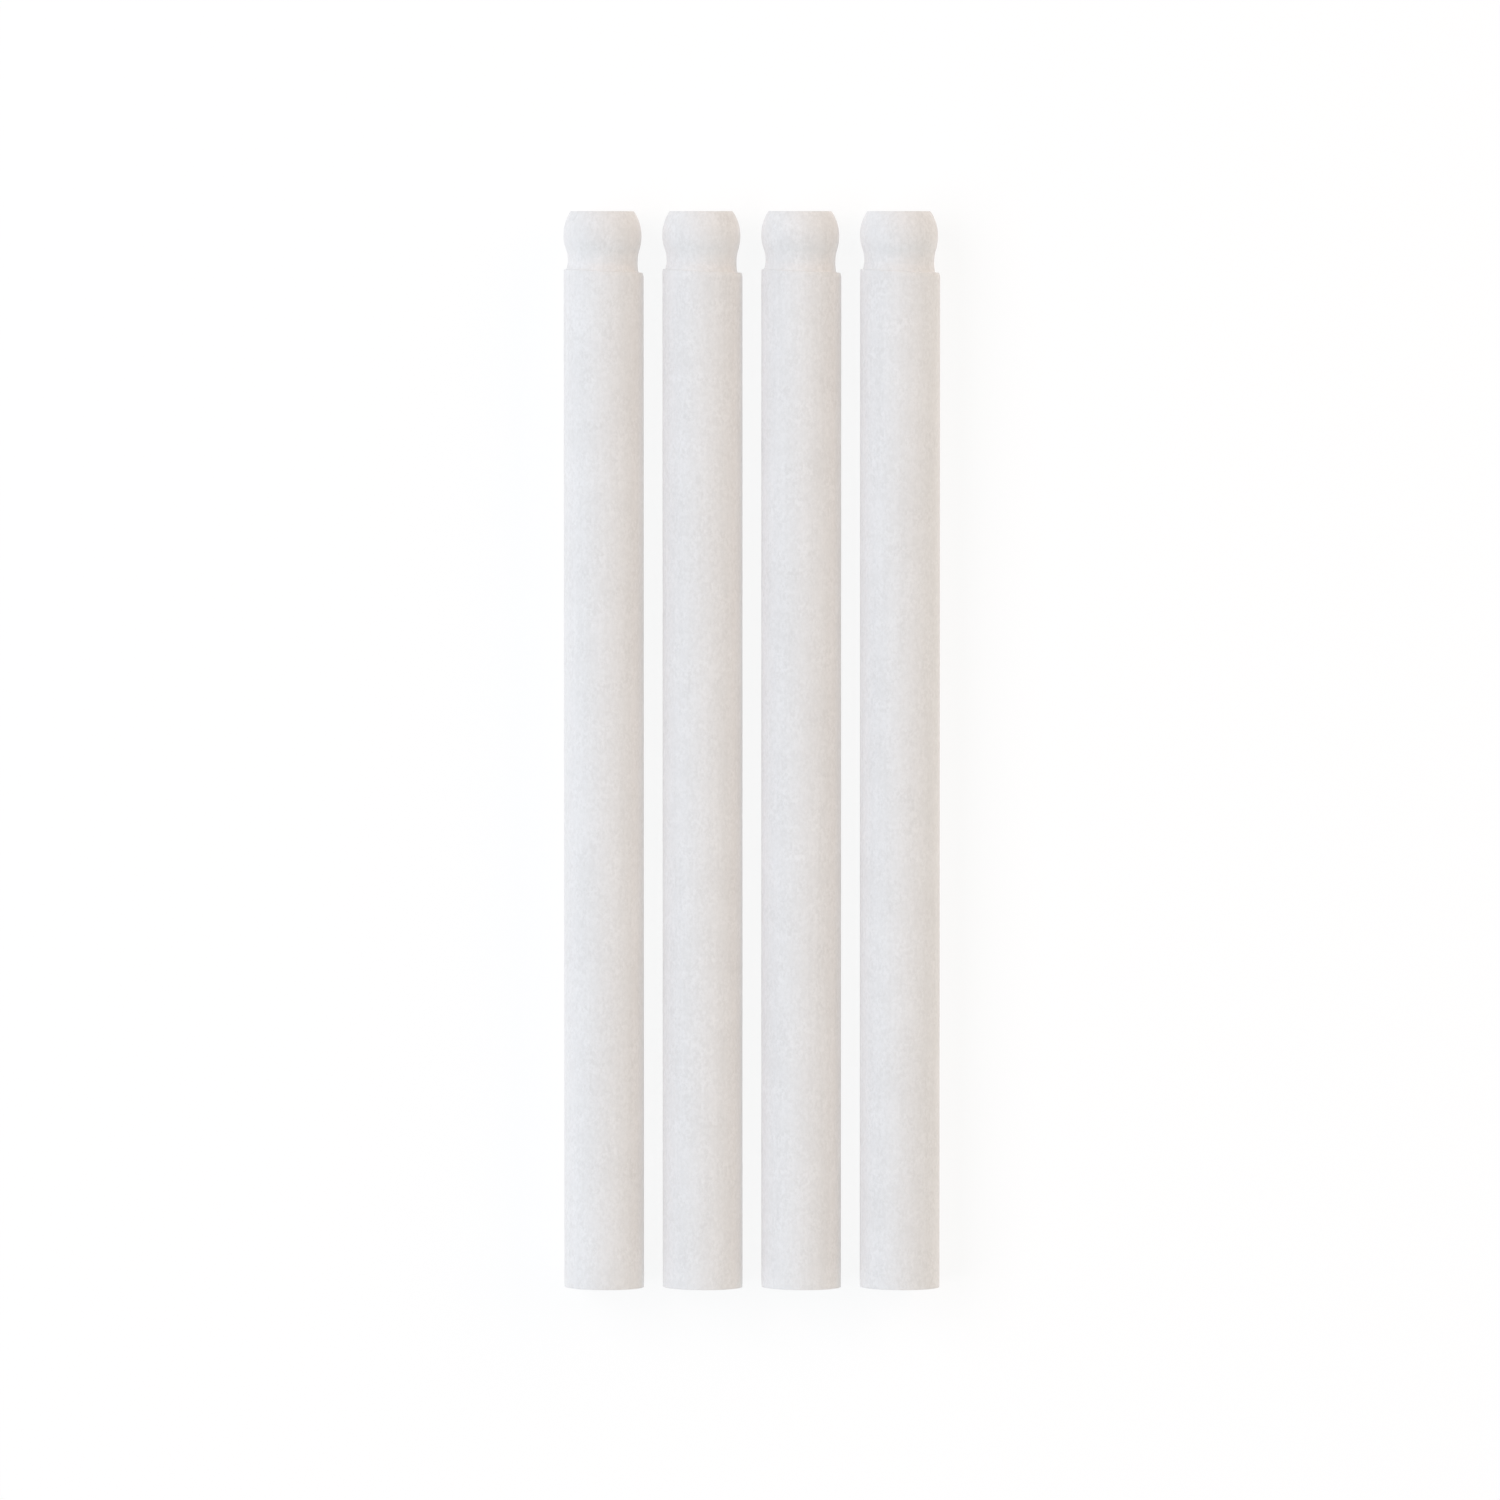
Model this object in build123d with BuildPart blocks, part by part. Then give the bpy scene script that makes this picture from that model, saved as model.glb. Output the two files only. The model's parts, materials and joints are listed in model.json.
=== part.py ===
from build123d import *
import os
from math import asin, atan2, degrees, sqrt

# Set of round eraser refill sticks, lying side by side with their snap heads at one end.
# Each stick is one moulded piece: a long plain shank, a narrow neck and a rounded head
# that clips into the pusher of a click-type holder.
# Millimetres. +X runs across the row, +Y towards the heads, +Z up from the surface that the
# sticks lie on. The origin is on that surface, under the middle of the row.

# Driving dimensions
stick_count = 4
stick_length = 91.2  # plain end to head end
stick_diameter = 6.8  # shank
stick_gap = 1.55  # clear space between neighbours

bulb_relief = 0.05  # how far the head's widest ring lies inside the shank's surface
bulb_depth = 2.07  # head end to the head's widest ring
bulb_profile_radius = 3.7  # curve of the head, seen from the side
groove_depth = 0.43  # how far the neck lies inside the shank's surface
neck_profile_radius = 3.1  # hollow curve that runs from the head down to the neck
neck_land = 0.84  # straight part of the neck, up to the shoulder's face

edge_break = 0.1  # rounding of the outer edges
shoulder_root_radius = 0.3  # hollow corner at the foot of the shoulder
root_share = 0.7  # of the shoulder's height, the most that its hollow corner may take

# Sizes that follow from them
stick_radius = stick_diameter / 2
stick_pitch = stick_diameter + stick_gap
bulb_radius = stick_radius - bulb_relief
neck_radius = stick_radius - groove_depth
root_radius = min(shoulder_root_radius, root_share * groove_depth)

# The head's curve and the neck's curve meet tangentially, on the line between their centres
bulb_center_x = bulb_radius - bulb_profile_radius
neck_center_x = neck_radius + neck_profile_radius
centers_across = neck_center_x - bulb_center_x
centers_along = sqrt((bulb_profile_radius + neck_profile_radius) ** 2 - centers_across**2)
meeting_angle = degrees(atan2(centers_along, centers_across))
end_angle = degrees(asin(bulb_depth / bulb_profile_radius))

# Heights along the stick, from its plain end
bulb_y = stick_length - bulb_depth
neck_y = bulb_y - centers_along
shoulder_y = neck_y - neck_land


def draw_outline():
    """Draws half of a stick's outline: x is the distance from its axis, y runs along it."""
    Polyline(
        (0, 0),
        (stick_radius, 0),
        (stick_radius, shoulder_y),
        (neck_radius, shoulder_y),
        (neck_radius, neck_y),
    )
    CenterArc((neck_center_x, neck_y), neck_profile_radius, 180, -meeting_angle)
    bulb = CenterArc(
        (bulb_center_x, bulb_y),
        bulb_profile_radius,
        -meeting_angle,
        meeting_angle + end_angle,
    )
    Polyline(bulb @ 1, (0, stick_length), (0, 0))


os.makedirs("parts", exist_ok=True)

for number in range(1, stick_count + 1):
    stick_x = (number - (stick_count + 1) / 2) * stick_pitch
    plain_end = (stick_x, -stick_length / 2, stick_radius)

    with BuildPart() as stick:
        with BuildSketch(Plane(origin=plain_end)):
            with BuildLine():
                draw_outline()
            make_face()
        revolve(axis=Axis(origin=plain_end, direction=(0, 1, 0)))

        # Rings are grouped from the plain end up: the second group is the shoulder's, with its
        # hollow corner as the smallest ring and its outer edge as the largest
        rings = stick.edges().filter_by(GeomType.CIRCLE).group_by(Axis.Y)
        shoulder_corner = rings[1].sort_by(SortBy.RADIUS)[0]
        fillet(shoulder_corner, radius=root_radius)

        rings = stick.edges().filter_by(GeomType.CIRCLE).group_by(Axis.Y)
        shoulder_edge = rings[1].sort_by(SortBy.RADIUS)[-1]
        fillet([rings[0][0], shoulder_edge, rings[-1][0]], radius=edge_break)

    stick.part.label = f"refill_stick_{number}"
    export_step(stick.part, f"parts/refill_stick_{number}.step")
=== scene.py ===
"""Looks for a row of loose, round, white vinyl eraser refill sticks with snap heads.

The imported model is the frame: the sticks' places, lengths and thicknesses are read from it.
One geometry tree turns a stick's outline about its axis, and adds the marks of its making and
handling. One material gives the soft matte vinyl. Metres, in the frame's own axes: +X across
the row, +Y towards the heads, +Z up.
"""

from __future__ import annotations

import json
import logging
import math
from dataclasses import dataclass, field, fields
from enum import Enum

import bmesh
import bpy
from mathutils import Matrix, Vector


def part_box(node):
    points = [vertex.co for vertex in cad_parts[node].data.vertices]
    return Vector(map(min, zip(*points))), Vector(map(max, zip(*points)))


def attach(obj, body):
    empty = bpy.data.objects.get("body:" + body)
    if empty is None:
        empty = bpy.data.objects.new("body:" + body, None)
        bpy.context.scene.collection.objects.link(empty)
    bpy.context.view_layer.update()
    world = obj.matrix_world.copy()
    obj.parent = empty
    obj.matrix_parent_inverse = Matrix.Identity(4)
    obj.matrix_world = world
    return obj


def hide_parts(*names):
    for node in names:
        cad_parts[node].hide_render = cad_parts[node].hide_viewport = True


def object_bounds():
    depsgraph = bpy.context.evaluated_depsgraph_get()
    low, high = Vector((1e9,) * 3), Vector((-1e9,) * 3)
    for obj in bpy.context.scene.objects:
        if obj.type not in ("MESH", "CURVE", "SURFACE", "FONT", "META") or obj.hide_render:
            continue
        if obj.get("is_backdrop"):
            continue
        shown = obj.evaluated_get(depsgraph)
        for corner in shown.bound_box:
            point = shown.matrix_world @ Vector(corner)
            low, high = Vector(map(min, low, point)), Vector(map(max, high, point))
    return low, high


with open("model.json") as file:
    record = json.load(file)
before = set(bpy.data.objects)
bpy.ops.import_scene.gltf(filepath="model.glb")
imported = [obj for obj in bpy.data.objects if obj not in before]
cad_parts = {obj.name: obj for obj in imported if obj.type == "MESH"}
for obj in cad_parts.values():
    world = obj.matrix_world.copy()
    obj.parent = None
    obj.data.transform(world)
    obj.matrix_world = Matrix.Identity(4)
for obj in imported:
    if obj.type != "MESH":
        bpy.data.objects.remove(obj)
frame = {"record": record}

MM = 0.001
WELD_DISTANCE = 0.0005 * MM
LOG = logging.getLogger("refill_sticks")


class Mark(Enum):
    """Masks that the geometry tree leaves on a stick's points for its finish to read."""

    RIM = "rim"
    CUT = "cut"


class InputKind(Enum):
    """Kinds of input that the geometry tree has."""

    NUMBER = "NodeSocketFloat"
    VECTOR = "NodeSocketVector"
    MATERIAL = "NodeSocketMaterial"


# ---------------------------------------------------------------------------------------------
# Nodes
# ---------------------------------------------------------------------------------------------


class Wire:
    """An output socket that takes part in Python expressions, each adding its Math node."""

    def __init__(self, bench: "Bench", socket: bpy.types.NodeSocket | None) -> None:
        """Keeps the socket, if its node has one, and the bench whose tree it is in."""
        self.bench = bench
        self.socket = socket

    def other(self, name: str) -> "Wire":
        """Another output of the same node, by name or identifier."""
        return Wire(self.bench, find_socket(self.socket.node.outputs, name))

    def math(self, operation: str, *values: "Wire | float") -> "Wire":
        """A Math node on this socket and up to two more values."""
        sockets = dict(enumerate((self, *values)))
        return self.bench.make("ShaderNodeMath", {"operation": operation}, sockets)

    def __add__(self, value: "Wire | float") -> "Wire":
        """This plus a value."""
        return self.math("ADD", value)

    __radd__ = __add__

    def __mul__(self, value: "Wire | float") -> "Wire":
        """This times a value."""
        return self.math("MULTIPLY", value)

    __rmul__ = __mul__

    def __sub__(self, value: "Wire | float") -> "Wire":
        """This less a value."""
        return self.math("SUBTRACT", value)

    def __rsub__(self, value: "Wire | float") -> "Wire":
        """A value less this."""
        return (self * -1.0) + value

    def __truediv__(self, value: "Wire | float") -> "Wire":
        """This over a value."""
        return self.math("DIVIDE", value)

    def __rtruediv__(self, value: float) -> "Wire":
        """A value over this."""
        return self.math("POWER", -1.0) * value

    def __neg__(self) -> "Wire":
        """This with its sign changed."""
        return self * -1.0

    def root(self) -> "Wire":
        """The square root."""
        return self.math("SQRT")

    def angle(self, across: "Wire | float") -> "Wire":
        """The angle whose sine side is this and whose cosine side is across, in radians."""
        return self.math("ARCTAN2", across)

    def most(self, value: "Wire | float") -> "Wire":
        """The larger of this and a value."""
        return self.math("MAXIMUM", value)

    def least(self, value: "Wire | float") -> "Wire":
        """The smaller of this and a value."""
        return self.math("MINIMUM", value)

    def span(
        self,
        low: "Wire | float",
        high: "Wire | float",
        to_low: float = 0.0,
        to_high: float = 1.0,
    ) -> "Wire":
        """Eases from to_low at low to to_high at high, and stays there beyond.

        Args:
            low: value where the result is to_low.
            high: value where the result is to_high.
            to_low: result at and below low.
            to_high: result at and above high.

        Returns:
            The eased value.
        """
        return self.bench.make(
            "ShaderNodeMapRange",
            {"interpolation_type": "SMOOTHSTEP"},
            {"Value": self, "From Min": low, "From Max": high, "To Min": to_low, "To Max": to_high},
        )


def find_socket(sockets: bpy.types.bpy_prop_collection, key: str | int) -> bpy.types.NodeSocket:
    """Finds a socket of a node.

    Args:
        sockets: the node's inputs or outputs.
        key: its place, its identifier or its name.

    Returns:
        The socket.
    """
    if isinstance(key, int):
        return sockets[key]
    for socket in sockets:
        if socket.identifier == key:
            return socket
    return sockets[key]


class Bench:
    """A node tree under construction."""

    def __init__(self, tree: bpy.types.NodeTree) -> None:
        """Takes the tree that nodes are added to."""
        self.tree = tree

    def make(
        self,
        kind: str,
        settings: dict[str, object] | None = None,
        sockets: dict[str | int, object] | None = None,
        output: str | int | None = 0,
    ) -> Wire:
        """Adds any node.

        Args:
            kind: the node's type.
            settings: its own settings, which are set first.
            sockets: values or wires for its inputs, by place, identifier or name. A list joins
                several wires to one input.
            output: the output wanted, by place, identifier or name; none where a node ends a tree.

        Returns:
            The wire of that output.
        """
        node = self.tree.nodes.new(kind)
        for name, value in (settings or {}).items():
            setattr(node, name, value)
        for key, value in (sockets or {}).items():
            socket = find_socket(node.inputs, key)
            if isinstance(value, Wire):
                self.tree.links.new(value.socket, socket)
            elif isinstance(value, list):
                for wire in value:
                    self.tree.links.new(wire.socket, socket)
            else:
                socket.default_value = value
        if output is None:
            return Wire(self, None)
        return Wire(self, find_socket(node.outputs, output))

    def vector(self, x: Wire | float, y: Wire | float, z: Wire | float) -> Wire:
        """A vector of three values."""
        return self.make("ShaderNodeCombineXYZ", sockets={"X": x, "Y": y, "Z": z})

    def mix(self, factor: Wire | float, low: Wire | tuple, high: Wire | tuple) -> Wire:
        """Mixes two colours.

        Args:
            factor: 0 for low and 1 for high.
            low: the first colour, RGBA.
            high: the second colour, RGBA.

        Returns:
            The mixed colour.
        """
        return self.make(
            "ShaderNodeMix",
            {"data_type": "RGBA"},
            {"Factor_Float": factor, "A_Color": low, "B_Color": high},
            "Result_Color",
        )

    def scaled(self, vector: Wire, factors: tuple[float, float, float]) -> Wire:
        """A vector with each of its axes scaled."""
        return self.make("ShaderNodeVectorMath", {"operation": "MULTIPLY"}, {0: vector, 1: factors})

    def noise(
        self,
        vector: Wire,
        size: Wire | float,
        seed: Wire | float = 0.0,
        detail: float = 2.0,
        roughness: float = 0.5,
    ) -> Wire:
        """Noise from 0 to 1, about 0.5.

        Args:
            vector: the point, in metres.
            size: how large its features are, in metres.
            seed: a number that shifts the pattern.
            detail: how many finer layers it has.
            roughness: how strong those are.

        Returns:
            The noise.
        """
        return self.make(
            "ShaderNodeTexNoise",
            {"noise_dimensions": "4D"},
            {"Vector": vector, "W": seed, "Scale": 1.0 / size, "Detail": detail, "Roughness": roughness},
            "Fac",
        )


# ---------------------------------------------------------------------------------------------
# Finishes
# ---------------------------------------------------------------------------------------------


def new_material(name: str) -> tuple[bpy.types.Material, Bench]:
    """Makes an empty material.

    Args:
        name: the material's name.

    Returns:
        The material, and the bench for its node tree.
    """
    made = bpy.data.materials.new(name)
    made.use_nodes = True
    made.node_tree.nodes.clear()
    return made, Bench(made.node_tree)


def shade(bench: Bench, values: dict[str | int, object]) -> None:
    """Adds the shader and joins it to the material's output.

    Args:
        bench: the material's bench.
        values: values or wires for the shader's inputs.
    """
    shader = bench.make("ShaderNodeBsdfPrincipled", None, values)
    bench.make("ShaderNodeOutputMaterial", None, {"Surface": shader}, None)


@dataclass(frozen=True)
class WhiteVinyl:
    """Soft, matte, faintly powdery white vinyl.

    Its shares say how much each pattern counts. Those of grain, mottle and streak add up to 1.
    """

    name: str = "white_vinyl"
    clean: tuple[float, float, float] = (0.85, 0.85, 0.85)
    shaded: tuple[float, float, float] = (0.735, 0.733, 0.728)
    dusty: tuple[float, float, float] = (0.66, 0.65, 0.63)
    bloom: tuple[float, float, float] = (0.87, 0.87, 0.87)
    grain_size: float = 0.22 * MM
    grain_stretch: float = 0.7
    grain_share: float = 0.65
    patch_size: float = 1.6 * MM
    mottle_size: float = 3.5 * MM
    mottle_share: float = 0.22
    streak_size: float = 0.5 * MM
    streak_stretch: float = 0.03
    streak_share: float = 0.13
    powder_size: float = 0.55 * MM
    powder_share: float = 0.5
    knife_size: float = 0.14 * MM
    knife_stretch: float = 0.02
    knife_share: float = 0.12
    knife_height: float = 4.0
    cut_smoothing: float = 0.6
    rim_dust: float = 0.06
    cut_dust: float = 0.05
    roughness_low: float = 0.58
    roughness_high: float = 0.74
    rim_polish: float = 0.06
    cut_polish: float = 0.1
    relief: float = 0.016 * MM
    index: float = 1.48
    gloss: float = 0.35
    subsurface: float = 0.12
    subsurface_radius: tuple[float, float, float] = (1.0, 0.95, 0.9)
    subsurface_depth: float = 0.6 * MM

    def material(self) -> bpy.types.Material:
        """Builds the material.

        Returns:
            The material, which reads the masks that the geometry tree leaves.
        """
        made, bench = new_material(self.name)
        place = bench.make("ShaderNodeTexCoord", output="Object")
        rim = self.mask(bench, Mark.RIM)
        cut = self.mask(bench, Mark.CUT)
        moulded = 1.0 - (cut * self.cut_smoothing)

        # Patterns: fine grain, broad mottling, streaks along the stick, powder and knife marks
        stretched = bench.scaled(place, (1.0, self.grain_stretch, 1.0))
        grain = bench.noise(stretched, self.grain_size, 1.0, detail=2.5, roughness=0.6)
        mottle = bench.noise(place, self.mottle_size, 2.0, detail=3.0)
        streaked = bench.scaled(place, (1.0, self.streak_stretch, 1.0))
        streak = bench.noise(streaked, self.streak_size, 3.0, detail=1.0)
        powder = bench.noise(place, self.powder_size, 4.0, detail=3.0, roughness=0.7)
        scored = bench.scaled(place, (1.0, 1.0, self.knife_stretch))
        knife = bench.noise(scored, self.knife_size, 5.0, detail=3.0)
        patches = bench.noise(place, self.patch_size, 6.0, detail=2.0).span(0.35, 0.65, 0.5, 1.1)

        # Colour: duller where the patterns are dark, brighter in the powder, dusty on worn edges
        speckle = ((grain.span(0.32, 0.68) - 0.5) * patches * moulded) + 0.5
        dull = speckle * self.grain_share
        dull = dull + (mottle.span(0.3, 0.7) * self.mottle_share)
        dull = dull + (streak.span(0.35, 0.65) * self.streak_share)
        dull = dull + (knife.span(0.35, 0.65, -self.knife_share, self.knife_share) * cut)
        colour = bench.mix(dull, (*self.clean, 1.0), (*self.shaded, 1.0))
        powdered = powder.span(0.5, 0.8) * moulded * self.powder_share
        colour = bench.mix(powdered, colour, (*self.bloom, 1.0))
        dust = ((rim * self.rim_dust) + (cut * self.cut_dust)) * mottle.span(0.3, 0.6, 0.5, 1.0)
        colour = bench.mix(dust, colour, (*self.dusty, 1.0))

        rough = grain.span(0.3, 0.7, self.roughness_low, self.roughness_high)
        rough = rough - (rim * self.rim_polish) - (cut * self.cut_polish)
        height = ((grain * 0.6) + (powder * 0.3) + (streak * 0.1)) * moulded
        height = height + (knife * cut * self.knife_height)
        normal = bench.make(
            "ShaderNodeBump", None, {"Strength": 1.0, "Distance": self.relief, "Height": height}
        )
        shade(
            bench,
            {
                "Base Color": colour,
                "Roughness": rough,
                "Normal": normal,
                "IOR": self.index,
                "Specular IOR Level": self.gloss,
                "Subsurface Weight": self.subsurface,
                "Subsurface Radius": self.subsurface_radius,
                "Subsurface Scale": self.subsurface_depth,
            },
        )
        return made

    def mask(self, bench: Bench, mark: Mark) -> Wire:
        """A mask that the geometry tree left on the points."""
        return bench.make("ShaderNodeAttribute", {"attribute_name": mark.value}, None, "Fac")


@dataclass(frozen=True)
class StudioPaper:
    """The pale floor: evenly lit from below, with a little of its own shading."""

    name: str = "studio_paper"
    colour: tuple[float, float, float] = (0.21, 0.21, 0.21)
    glow: float = 0.8

    def material(self) -> bpy.types.Material:
        """Builds the material.

        Returns:
            The material.
        """
        made, bench = new_material(self.name)
        shade(
            bench,
            {
                "Base Color": (*self.colour, 1.0),
                "Roughness": 0.9,
                "Specular IOR Level": 0.0,
                "Emission Color": (1.0, 1.0, 1.0, 1.0),
                "Emission Strength": self.glow,
            },
        )
        return made


# ---------------------------------------------------------------------------------------------
# Sticks
# ---------------------------------------------------------------------------------------------


@dataclass(frozen=True)
class StickSizes:
    """Sizes of a stick that the frame's boxes don't give. Each is an input of the geometry tree."""

    skin_relief: float = 0.02 * MM
    head_relief: float = 0.08 * MM
    head_depth: float = 2.07 * MM
    head_curve: float = 3.7 * MM
    groove_depth: float = 0.43 * MM
    neck_curve: float = 3.1 * MM
    neck_land: float = 0.83 * MM
    root_radius: float = 0.17 * MM
    edge_break: float = 0.06 * MM
    cut_edge: float = 0.025 * MM
    head_offset: float = 0.075 * MM
    head_lean: float = 0.045 * MM
    shoulder_tilt: float = 0.155 * MM
    tilt_reach: float = 6.0 * MM
    shoulder_fill: float = 0.4
    fill_reach: float = 0.7 * MM
    shoulder_slope: float = 0.05 * MM
    slope_reach: float = 0.4 * MM
    cut_tilt: float = 0.04 * MM
    cut_dome: float = 0.05 * MM
    cut_reach: float = 5.0 * MM
    wave_height: float = 0.012 * MM
    wave_size: float = 9.0 * MM
    dent_depth: float = 0.03 * MM
    dent_size: float = 1.8 * MM
    edge_wear: float = 0.025 * MM
    wear_size: float = 0.9 * MM
    ring_spacing: float = 0.32 * MM
    edge_spacing: float = 0.08 * MM


@dataclass
class StickLevels:
    """Radii of a stick and heights along it, from its plain end, as wires."""

    shank: Wire
    neck: Wire
    shoulder: Wire
    neck_y: Wire
    head_y: Wire
    head_center: Wire
    neck_center: Wire
    meeting: Wire


@dataclass
class PointReading:
    """Where a point is on its stick, as wires.

    across, up and along are distances from the middle of the plain end, away is the distance from
    the axis, side runs from -1 to 1 across the stick, and out_across and out_up point outwards.
    """

    across: Wire
    up: Wire
    along: Wire
    away: Wire
    side: Wire
    out_across: Wire
    out_up: Wire


class StickTree:
    """The geometry tree that turns a stick about its axis from its sizes."""

    AROUND = 144
    ARC_POINTS = 8
    EDGE_RINGS = 8.0
    LATHE_RADIUS = 1.0 * MM
    AXIS_MARGIN = 0.01 * MM

    def __init__(self, sizes: StickSizes) -> None:
        """Makes the tree and its inputs.

        Args:
            sizes: the stick's sizes, whose names become inputs.
        """
        self.tree = bpy.data.node_groups.new("turned_stick", "GeometryNodeTree")
        self.tree.interface.new_socket("Geometry", in_out="OUTPUT", socket_type="NodeSocketGeometry")
        self.identifiers: dict[str, str] = {}
        self.bench = Bench(self.tree)
        self.add_input("place", InputKind.VECTOR)
        self.add_input("length", InputKind.NUMBER)
        self.add_input("thickness", InputKind.NUMBER)
        self.add_input("seed", InputKind.NUMBER)
        self.add_input("finish", InputKind.MATERIAL)
        for size in fields(sizes):
            self.add_input(size.name, InputKind.NUMBER)
        self.inputs = self.bench.make("NodeGroupInput")
        self.levels = self.work_out_levels()
        self.here = self.read_point()
        self.build()

    def add_input(self, name: str, kind: InputKind) -> None:
        """Adds a named input and keeps its identifier."""
        socket = self.tree.interface.new_socket(name, in_out="INPUT", socket_type=kind.value)
        self.identifiers[name] = socket.identifier

    def given(self, name: str) -> Wire:
        """The wire of a named input."""
        return self.inputs.other(name)

    def work_out_levels(self) -> StickLevels:
        """Works out where the head's curve and the neck's hollow curve meet tangentially.

        Returns:
            The stick's radii and heights.
        """
        shank = (self.given("thickness") * 0.5) - self.given("skin_relief")
        neck = shank - self.given("groove_depth")
        head_center = shank - self.given("head_relief") - self.given("head_curve")
        neck_center = neck + self.given("neck_curve")
        across = neck_center - head_center
        reach = self.given("head_curve") + self.given("neck_curve")
        along = ((reach * reach) - (across * across)).root()
        head_y = self.given("length") - self.given("head_depth")
        neck_y = head_y - along
        return StickLevels(
            shank=shank,
            neck=neck,
            shoulder=neck_y - self.given("neck_land"),
            neck_y=neck_y,
            head_y=head_y,
            head_center=head_center,
            neck_center=neck_center,
            meeting=along.angle(across),
        )

    def read_point(self) -> PointReading:
        """Reads where each point is on its stick.

        Returns:
            The reading.
        """
        make = self.bench.make
        point = make("ShaderNodeSeparateXYZ", None, {0: make("GeometryNodeInputPosition")})
        place = make("ShaderNodeSeparateXYZ", None, {0: self.given("place")})
        across = point - place
        up = point.other("Z") - place.other("Z")
        away = ((across * across) + (up * up)).root()
        outward = away.most(self.AXIS_MARGIN)
        return PointReading(
            across=across,
            up=up,
            along=point.other("Y") - place.other("Y"),
            away=away,
            side=across / self.levels.shank,
            out_across=across / outward,
            out_up=up / outward,
        )

    def point(self, across: Wire | float, along: Wire | float) -> Wire:
        """A point of the outline, in the lathe's own plane."""
        return self.bench.vector(across - self.LATHE_RADIUS, along, 0.0)

    def line(self, start: tuple, end: tuple, step: Wire) -> Wire:
        """A straight stretch of the outline.

        Args:
            start: distance from the axis and height along it.
            end: the same, for the other end.
            step: longest step between its points.

        Returns:
            The curve.
        """
        ends = {"Start": self.point(*start), "End": self.point(*end)}
        curve = self.bench.make("GeometryNodeCurvePrimitiveLine", None, ends)
        return self.bench.make(
            "GeometryNodeResampleCurve", {"mode": "LENGTH"}, {"Curve": curve, "Length": step}
        )

    def arc(
        self,
        center: tuple,
        radius: Wire | float,
        start: Wire | float,
        sweep: Wire | float,
        points: int,
    ) -> Wire:
        """A round stretch of the outline.

        Args:
            center: distance from the axis and height along it.
            radius: the arc's radius.
            start: angle where it begins, in radians.
            sweep: angle that it turns through, in radians.
            points: how many points it has.

        Returns:
            The curve.
        """
        curve = self.bench.make(
            "GeometryNodeCurveArc",
            {"mode": "RADIUS"},
            {"Resolution": points, "Radius": radius, "Start Angle": start, "Sweep Angle": sweep},
        )
        return self.bench.make(
            "GeometryNodeTransform", None, {"Geometry": curve, "Translation": self.point(*center)}
        )

    def outline(self) -> Wire:
        """The stick's half outline, from the middle of its plain end to the middle of its head end.

        Returns:
            The curves, joined end to end in one geometry.
        """
        quarter = math.pi / 2
        few = self.ARC_POINTS
        step = self.given("ring_spacing")
        fine = self.given("edge_spacing")
        length = self.given("length")
        edge = self.given("edge_break")
        cut_edge = self.given("cut_edge")
        root = self.given("root_radius")
        head_curve = self.given("head_curve")
        head_depth = self.given("head_depth")
        shank = self.levels.shank
        neck = self.levels.neck
        shoulder = self.levels.shoulder
        neck_y = self.levels.neck_y
        head_center = self.levels.head_center
        meeting = self.levels.meeting

        # The head's rim: a small arc between the head's curve and its flat end
        rim_rise = head_depth - edge
        rim_reach = head_curve - edge
        rim_across = ((rim_reach * rim_reach) - (rim_rise * rim_rise)).root()
        rim_angle = rim_rise.angle(rim_across)
        rim = head_center + rim_across

        # Rings are close together near the three outer edges, and further apart between them
        edge_band = fine * self.EDGE_RINGS
        face_end = shank - cut_edge - edge_band
        skin_start = cut_edge + edge_band
        skin_end = shoulder - edge_band
        axis = 0.0
        pieces = [
            self.line((axis, 0.0), (face_end, 0.0), step),
            self.line((face_end, 0.0), (shank - cut_edge, 0.0), fine),
            self.arc((shank - cut_edge, cut_edge), cut_edge, -quarter, quarter, few),
            self.line((shank, cut_edge), (shank, skin_start), fine),
            self.line((shank, skin_start), (shank, skin_end), step),
            self.line((shank, skin_end), (shank, shoulder - edge), fine),
            self.arc((shank - edge, shoulder - edge), edge, 0.0, quarter, few),
            self.line((shank - edge, shoulder), (neck + root, shoulder), fine),
            self.arc((neck + root, shoulder + root), root, -quarter, -quarter, few),
            self.line((neck, shoulder + root), (neck, neck_y), fine),
            self.arc(
                (self.levels.neck_center, neck_y), self.given("neck_curve"), math.pi, -meeting, 2 * few
            ),
            self.arc(
                (head_center, self.levels.head_y), head_curve, -meeting, meeting + rim_angle, 3 * few
            ),
            self.arc((rim, length - edge), edge, rim_angle, quarter - rim_angle, few),
            self.line((rim, length), (axis, length), step),
        ]
        joined = {"Geometry": list(reversed(pieces))}
        return self.bench.make("GeometryNodeJoinGeometry", None, joined)

    def turned(self) -> Wire:
        """The outline turned about the axis.

        Returns:
            One closed surface, standing on its plain end.
        """
        make = self.bench.make
        ring = make(
            "GeometryNodeCurvePrimitiveCircle",
            {"mode": "RADIUS"},
            {"Resolution": self.AROUND, "Radius": self.LATHE_RADIUS},
        )
        ring = make("GeometryNodeSetCurveNormal", {"mode": "Z_UP"}, {"Curve": ring})
        mesh = make("GeometryNodeCurveToMesh", None, {"Curve": ring, "Profile Curve": self.outline()})
        return make("GeometryNodeMergeByDistance", None, {"Geometry": mesh, "Distance": WELD_DISTANCE})

    def noise_here(self, size: str, offset: float, detail: float = 2.0) -> Wire:
        """Noise from -1 to 1 over the stick, different for each seed.

        Args:
            size: name of the input that says how large its features are.
            offset: a number that sets it apart from the stick's other noises.
            detail: how many finer layers it has.

        Returns:
            The noise.
        """
        position = self.bench.make("GeometryNodeInputPosition")
        noise = self.bench.noise(position, self.given(size), self.given("seed") + offset, detail)
        return (noise - 0.5) * 2.0

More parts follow.
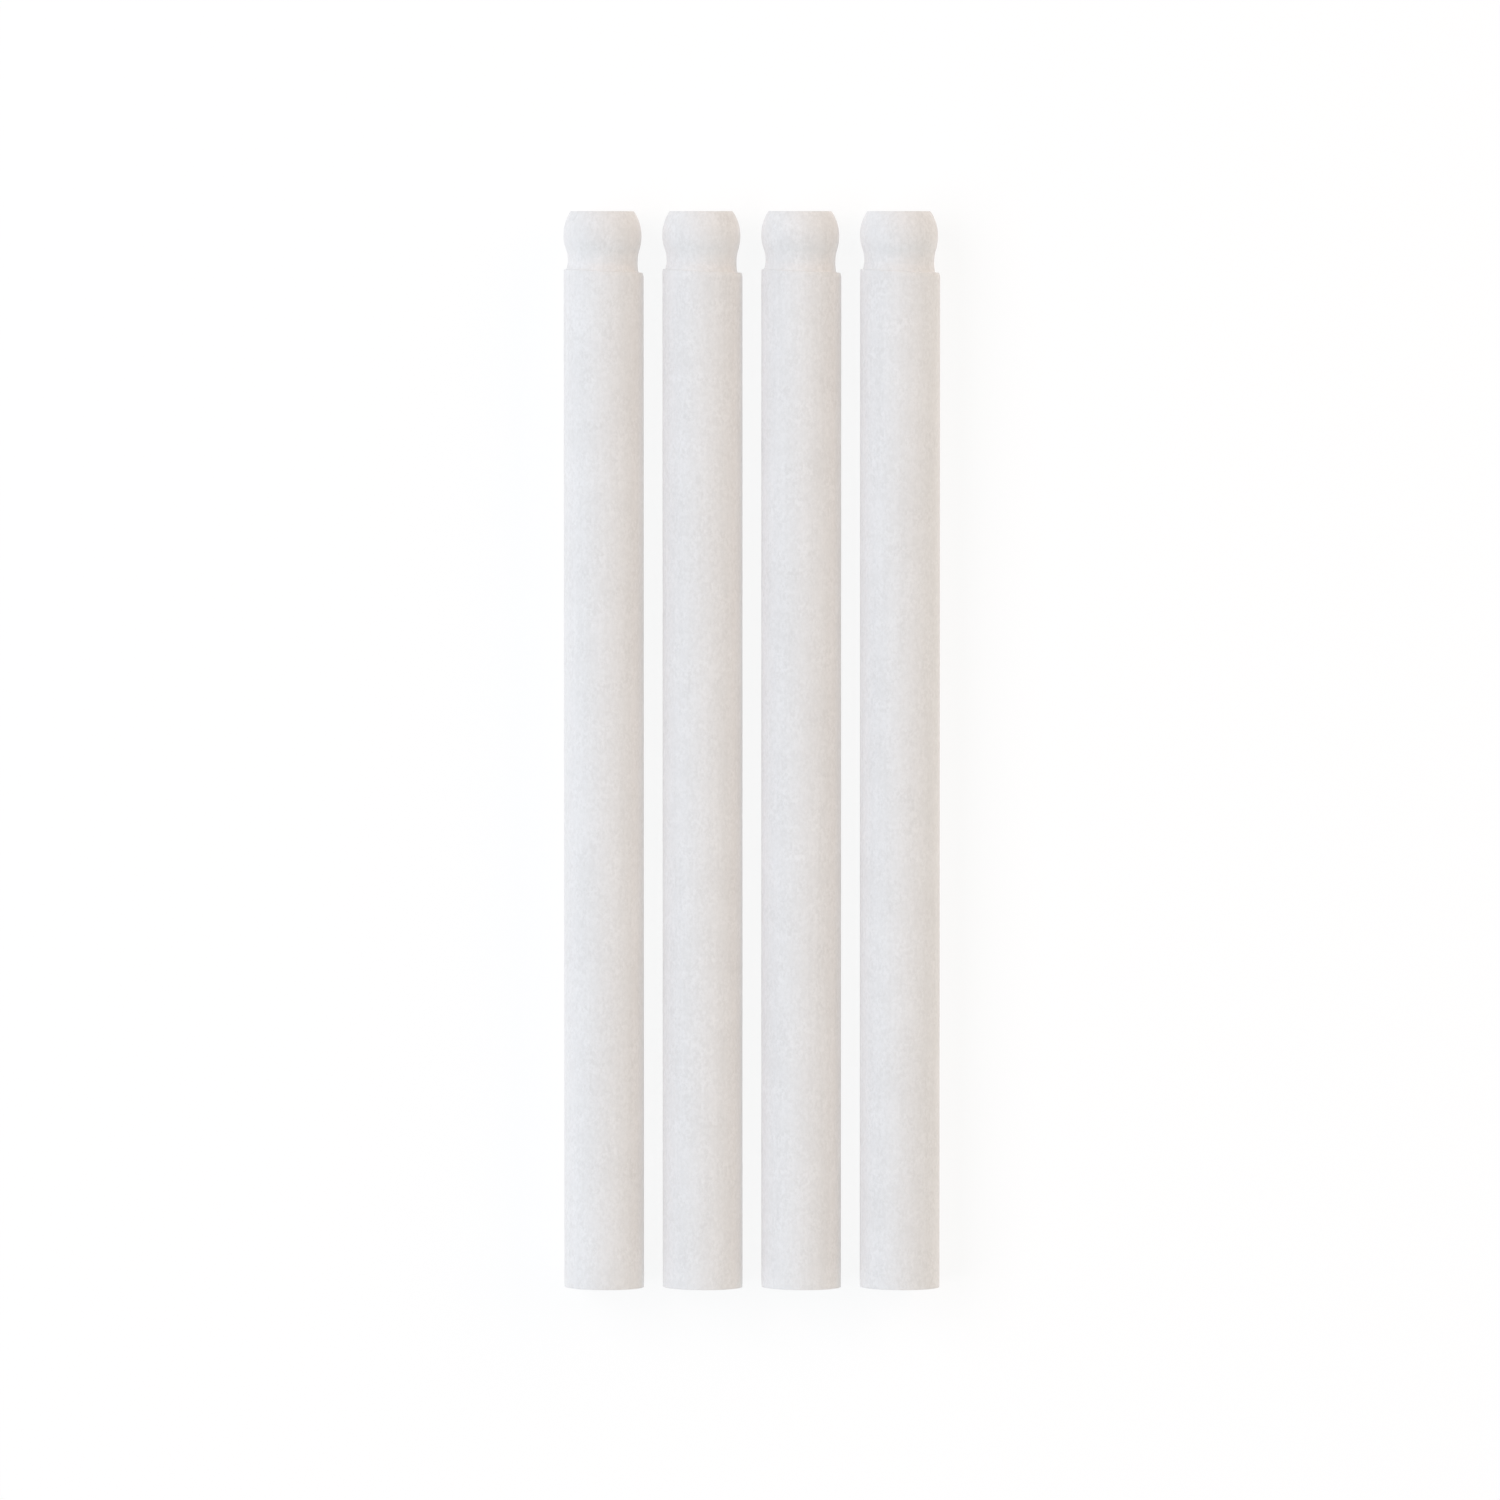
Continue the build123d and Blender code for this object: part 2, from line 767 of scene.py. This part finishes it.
    def near(self, value: Wire, target: Wire | float, reach: Wire | float) -> Wire:
        """1 where a value is at its target, falling to 0 a reach away."""
        return (value - target).math("ABSOLUTE").span(0.0, reach, 1.0, 0.0)

    def rims(self) -> Wire:
        """A mask of the three outer edges: the plain end's, the shoulder's and the head end's.

        Returns:
            1 on the edges, falling to 0 beside them.
        """
        along = self.here.along
        away = self.here.away
        shank = self.levels.shank
        head = self.near(along, self.given("length"), 0.3 * MM)
        head = head * self.near(away, shank * 0.8, 0.4 * MM)
        plain = self.near(along, 0.0, 0.35 * MM) * self.near(away, shank, 0.35 * MM)
        shoulder = self.near(along, self.levels.shoulder, 0.3 * MM)
        shoulder = shoulder * self.near(away, shank, 0.25 * MM)
        return plain.most(shoulder).most(head)

    def marked(self, mesh: Wire) -> Wire:
        """Leaves the masks that the finish reads.

        Args:
            mesh: the turned stick.

        Returns:
            The same mesh, with its masks.
        """
        masks = {
            Mark.RIM: self.rims(),
            Mark.CUT: self.here.along.span(0.02 * MM, 0.06 * MM, 1.0, 0.0),
        }
        for mark, mask in masks.items():
            mesh = self.bench.make(
                "GeometryNodeStoreNamedAttribute",
                {"data_type": "FLOAT", "domain": "POINT"},
                {"Geometry": mesh, "Name": mark.value, "Value": mask},
            )
        return mesh

    def leaning(self) -> Wire:
        """How far the head leans to one side, from the shoulder's face on.

        Returns:
            A distance, towards -X.
        """
        along = self.here.along
        shoulder = self.levels.shoulder
        neck_y = self.levels.neck_y
        reach = ((along - neck_y) / (self.given("length") - neck_y)).most(0.0)
        face = (self.levels.shank - self.here.away).span(0.0, 0.2 * MM)
        face = face * along.span(shoulder - (0.05 * MM), shoulder)
        head = face.most(along.span(shoulder, shoulder + (0.2 * MM)))
        return (self.given("head_offset") * head) + (self.given("head_lean") * reach)

    def sliding(self) -> Wire:
        """How far points slide along the stick: its cut end's dome, and its shoulder's tilt.

        Returns:
            A distance, towards +Y.
        """
        along = self.here.along
        shoulder = self.levels.shoulder
        left = (self.here.side * -0.5) + 0.5
        before = along.span(shoulder - self.given("tilt_reach"), shoulder)
        after = along.span(shoulder + (0.3 * MM), self.levels.head_y, 1.0, 0.0)
        tilt = self.given("shoulder_tilt") * self.here.side * before * after
        rise = self.here.away / self.levels.shank
        cut = (self.given("cut_tilt") * left) + (self.given("cut_dome") * rise * rise)
        return (cut * along.span(0.0, self.given("cut_reach"), 1.0, 0.0)) - tilt

    def swelling(self) -> Wire:
        """How far points move outwards: the shoulder's foot, waves, dents and worn edges.

        Returns:
            A distance, outwards from the axis.
        """
        along = self.here.along
        away = self.here.away
        side = self.here.side
        shank = self.levels.shank
        shoulder = self.levels.shoulder
        left = (side * -0.5) + 0.5

        # The foot of the shoulder runs out gently on top, less so to one side
        gentle = (1.0 - (side * side)) + (left * 0.3)
        beyond = along.span(shoulder + (0.05 * MM), shoulder + self.given("fill_reach"), 1.0, 0.0)
        beyond = beyond * along.span(shoulder - (0.01 * MM), shoulder)
        fill = (shank - away).most(0.0) * self.given("shoulder_fill") * beyond * gentle
        reach = self.given("slope_reach")
        edge = self.near(along, shoulder, reach) * self.near(away, shank, reach)
        slope = self.given("shoulder_slope") * edge * (1.0 - left)

        wave = self.noise_here("wave_size", 0.0) * self.given("wave_height")
        dents = self.noise_here("dent_size", 3.0, 1.0).span(0.42, 0.7) * self.given("dent_depth")
        worn = (self.noise_here("wear_size", 5.0) + 0.6).most(0.0)
        wear = worn * self.rims() * self.given("edge_wear")
        return fill + wave.least(0.0) - slope - dents - wear

    def shaped(self, mesh: Wire) -> Wire:
        """Moves points off the true form, by what moulding, cutting and handling left.

        Args:
            mesh: the turned stick, with its masks.

        Returns:
            The shaped mesh.
        """
        outward = self.swelling()
        offset = self.bench.vector(
            (self.here.out_across * outward) - self.leaning(),
            self.sliding(),
            self.here.out_up * outward,
        )
        return self.bench.make("GeometryNodeSetPosition", None, {"Geometry": mesh, "Offset": offset})

    def build(self) -> None:
        """Joins the whole tree: turning, masks, shaping, material."""
        make = self.bench.make
        mesh = self.turned()
        mesh = make("GeometryNodeSetShadeSmooth", None, {"Geometry": mesh, "Shade Smooth": True})
        laid = {"Translation": self.given("place"), "Rotation": (math.pi / 2, 0.0, 0.0)}
        mesh = make("GeometryNodeTransform", None, {"Geometry": mesh, **laid})
        mesh = self.shaped(self.marked(mesh))
        mesh = make("GeometryNodeRealizeInstances", None, {"Geometry": mesh})
        dressed = {"Geometry": mesh, "Material": self.given("finish")}
        mesh = make("GeometryNodeSetMaterial", None, dressed)
        make("NodeGroupOutput", None, {"Geometry": mesh}, None)


@dataclass
class RefillStick:
    """One loose stick: the node that it stands for, its body and its own seed."""

    node: str
    body: str
    slot: str
    seed: float
    sizes: StickSizes
    end_relief: float = 0.002 * MM

    def inputs(self, finish: bpy.types.Material) -> dict[str, object]:
        """Works out the geometry tree's inputs from the node's box and the stick's sizes.

        Args:
            finish: the stick's material.

        Returns:
            The inputs' values, by name.
        """
        low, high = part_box(self.node)
        middle = (low + high) / 2
        values = {
            "place": (middle.x, low.y + self.end_relief, middle.z),
            "length": high.y - low.y - 2 * self.end_relief,
            "thickness": high.z - low.z,
            "seed": self.seed,
            "finish": finish,
        }
        return values | {size.name: getattr(self.sizes, size.name) for size in fields(self.sizes)}

    def turn(self, tree: StickTree, finish: bpy.types.Material, name: str) -> bpy.types.Mesh:
        """Runs the geometry tree on a holder object, and keeps its result as a plain mesh.

        Args:
            tree: the geometry tree.
            finish: the stick's material.
            name: the mesh's name.

        Returns:
            The mesh.
        """
        source = bpy.data.meshes.new(name + "_source")
        holder = bpy.data.objects.new(name + "_source", source)
        bpy.context.scene.collection.objects.link(holder)
        modifier = holder.modifiers.new("turned", "NODES")
        modifier.node_group = tree.tree
        for key, value in self.inputs(finish).items():
            modifier[tree.identifiers[key]] = value
        bpy.context.view_layer.update()
        graph = bpy.context.evaluated_depsgraph_get()
        mesh = bpy.data.meshes.new_from_object(holder.evaluated_get(graph))
        mesh.name = name
        holder.modifiers.remove(modifier)
        bpy.data.objects.remove(holder)
        bpy.data.meshes.remove(source)
        return mesh

    def close(self, mesh: bpy.types.Mesh) -> None:
        """Turns the mesh's faces outwards and checks that it is closed.

        Args:
            mesh: the stick's mesh.

        Raises:
            ValueError: if an edge doesn't join exactly two faces.
        """
        work = bmesh.new()
        work.from_mesh(mesh)
        bmesh.ops.recalc_face_normals(work, faces=work.faces)
        open_edges = sum(not edge.is_manifold for edge in work.edges)
        work.to_mesh(mesh)
        work.free()
        if open_edges:
            raise ValueError(f"{mesh.name} has {open_edges} open edges")

    def build(self, tree: StickTree, finish: bpy.types.Material) -> bpy.types.Object:
        """Makes the stick's mesh, names it after its node, and gives it its body.

        Args:
            tree: the geometry tree.
            finish: the stick's material.

        Returns:
            The finished piece.
        """
        name = f"{self.node}_vinyl"
        mesh = self.turn(tree, finish, name)
        self.close(mesh)
        piece = bpy.data.objects.new(name, mesh)
        bpy.context.scene.collection.objects.link(piece)
        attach(piece, self.body)
        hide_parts(self.node)
        LOG.info("%s rides on %s: %d faces", name, self.body, len(mesh.polygons))
        return piece


@dataclass
class StickRow:
    """The loose sticks, side by side."""

    sizes: StickSizes = field(default_factory=StickSizes)
    finish: WhiteVinyl = field(default_factory=WhiteVinyl)
    seed_step: float = 10.0

    def build(self) -> list[bpy.types.Object]:
        """Makes every stick that the frame holds.

        Returns:
            The finished pieces.
        """
        tree = StickTree(self.sizes)
        finish = self.finish.material()
        record = frame["record"]
        slots = {part["node"]: part["material_slot"] for part in record["subparts"]}
        pieces = []
        for body, nodes in record["behaviour"]["bodies"].items():
            for node in nodes:
                seed = self.seed_step * (1 + len(pieces))
                stick = RefillStick(node, body, slots[node], seed, self.sizes)
                pieces.append(stick.build(tree, finish))
        return pieces


# ---------------------------------------------------------------------------------------------
# Studio
# ---------------------------------------------------------------------------------------------


@dataclass(frozen=True)
class SoftLight:
    """A large soft light above one side of the row, longer along the sticks than across them.

    Its place is given by the angle from straight up, towards +X, by its distance from the row in
    the plane across it, and by how far it stands ahead of the row's middle, towards the heads.
    """

    name: str
    lean: float
    distance: float
    ahead: float
    width: float
    length: float
    power: float
    colour: tuple[float, float, float]

    def build(self) -> bpy.types.Object:
        """Makes the light.

        Returns:
            The light's object, whose own X runs along the sticks.
        """
        lamp = bpy.data.lights.new(self.name, "AREA")
        lamp.shape = "RECTANGLE"
        lamp.size = self.length
        lamp.size_y = self.width
        lamp.energy = self.power
        lamp.color = self.colour
        made = bpy.data.objects.new(self.name, lamp)
        angle = math.radians(self.lean)
        away = Vector((math.sin(angle), 0.0, math.cos(angle)))
        made.location = away * self.distance + Vector((0.0, self.ahead, 0.0))
        made.rotation_mode = "QUATERNION"
        made.rotation_quaternion = away.to_track_quat("Z", "Y")
        made.visible_camera = False
        bpy.context.scene.collection.objects.link(made)
        return made


@dataclass
class Studio:
    """The round floor, the backdrop that rises from its edge, the lights and the air."""

    AROUND = 128
    BEND_STEPS = 16

    paper: StudioPaper = field(default_factory=StudioPaper)
    floor_radius: float = 2.4
    bend_radius: float = 0.2
    wall_height: float = 0.7
    sky: float = 0.617
    sky_colour: tuple[float, float, float] = (0.89, 0.98, 1.0)
    lights: tuple[SoftLight, ...] = (
        SoftLight("key_light", -42.0, 1.6, 0.28, 1.0, 2.0, 13.6, (0.99, 0.92, 1.0)),
        SoftLight("warm_light", 58.0, 1.6, 0.95, 1.0, 2.0, 10.9, (1.0, 0.56, 0.29)),
    )

    def build(self) -> None:
        """Makes everything that isn't part of the object."""
        paper = self.paper.material()
        floor = self.turned("studio_floor", [(0.0, 0.0), (self.floor_radius, 0.0)], paper)
        floor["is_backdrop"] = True
        wall = self.turned("studio_wall", self.wall_outline(), paper)
        wall.visible_diffuse = False
        wall.visible_glossy = False
        wall.visible_shadow = False
        wall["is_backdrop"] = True
        for light in self.lights:
            light.build()
        world = bpy.data.worlds.new("studio_air")
        world.use_nodes = True
        background = world.node_tree.nodes["Background"]
        background.inputs["Color"].default_value = (*self.sky_colour, 1.0)
        background.inputs["Strength"].default_value = self.sky
        bpy.context.scene.world = world
        bpy.context.scene.view_settings.view_transform = "Standard"

    def wall_outline(self) -> list[tuple[float, float]]:
        """The wall's outline: a bend that rises from the floor's edge, then straight up.

        Returns:
            Distances from the axis and heights.
        """
        bend = self.bend_radius
        points = []
        for step in range(self.BEND_STEPS + 1):
            turn = math.pi / 2 * step / self.BEND_STEPS
            points.append((self.floor_radius + bend * math.sin(turn), bend - bend * math.cos(turn)))
        return points + [(self.floor_radius + bend, self.wall_height)]

    def turned(
        self, name: str, outline: list[tuple[float, float]], material: bpy.types.Material
    ) -> bpy.types.Object:
        """Turns an outline about the vertical axis.

        Args:
            name: the object's name.
            outline: distances from the axis and heights.
            material: the surface's material.

        Returns:
            The turned object, facing the axis.
        """
        angles = [2 * math.pi * step / self.AROUND for step in range(self.AROUND)]
        work = bmesh.new()
        rings = []
        for away, height in outline:
            if away == 0.0:
                rings.append([work.verts.new((0.0, 0.0, height))] * self.AROUND)
                continue
            places = [(away * math.cos(angle), away * math.sin(angle), height) for angle in angles]
            rings.append([work.verts.new(place) for place in places])
        for inner, outer in zip(rings, rings[1:]):
            for step in range(self.AROUND):
                after = (step + 1) % self.AROUND
                corners = [inner[step], outer[step], outer[after], inner[after]]
                work.faces.new(list(dict.fromkeys(corners))).smooth = True
        mesh = bpy.data.meshes.new(name)
        work.to_mesh(mesh)
        work.free()
        mesh.materials.append(material)
        made = bpy.data.objects.new(name, mesh)
        bpy.context.scene.collection.objects.link(made)
        return made


@dataclass
class Camera:
    """A long lens straight above the head end, looking down at the middle of the row."""

    lens: float = 282.9
    sensor: float = 36.0
    height: float = 1.0
    aim_left: float = 0.163 * MM
    aim_up: float = 0.03 * MM

    def build(self) -> bpy.types.Object:
        """Makes the camera and gives it to the scene.

        Returns:
            The camera's object.
        """
        low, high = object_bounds()
        middle = (low + high) / 2
        aim = Vector((middle.x - self.aim_left, middle.y + self.aim_up, middle.z))
        data = bpy.data.cameras.new("camera")
        data.lens = self.lens
        data.sensor_width = self.sensor
        data.clip_start = 0.05
        data.clip_end = 20.0
        made = bpy.data.objects.new("camera", data)
        made.location = Vector((aim.x, high.y, self.height))
        back = (made.location - aim).normalized()
        right = Vector((1.0, 0.0, 0.0))
        upward = back.cross(right)
        made.rotation_mode = "QUATERNION"
        made.rotation_quaternion = Matrix((right, upward, back)).transposed().to_quaternion()
        bpy.context.scene.collection.objects.link(made)
        bpy.context.scene.camera = made
        return made


def main() -> None:
    """Builds the camera, the studio and the row of sticks."""
    logging.basicConfig(level=logging.INFO, format="%(name)s: %(message)s")
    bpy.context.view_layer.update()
    Camera().build()
    Studio().build()
    StickRow().build()


if __name__ == "__main__":
    main()
